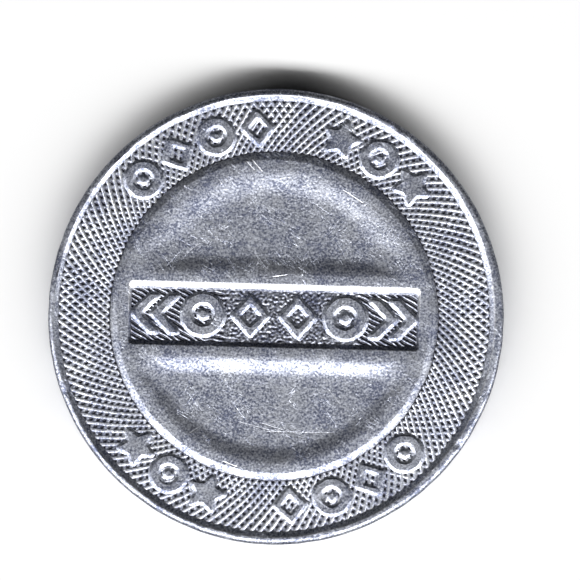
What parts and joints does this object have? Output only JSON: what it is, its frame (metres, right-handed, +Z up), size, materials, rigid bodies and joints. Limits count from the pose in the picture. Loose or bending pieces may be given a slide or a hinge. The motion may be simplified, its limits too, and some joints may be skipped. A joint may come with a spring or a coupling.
{
  "type": "transit token",
  "caption": "Small round struck aluminium fare token with a raised rim, an engine-turned ring, a domed-out centre disc crossed by a recessed bar, and plain raised ornaments.",
  "frame": {"origin": "centre of the reverse rim's plane, which the token lies on", "axes": "+Z up out of the obverse, along the token's axis; +X along the recessed bar; +Y towards the top of the design"},
  "size_m": [0.0164, 0.0164, 0.0012],
  "materials": {
    "aluminium": "struck, lightly worn satin"
  },
  "bodies": {
    "root": {"struck_token": "aluminium"}
  },
  "joints": []
}
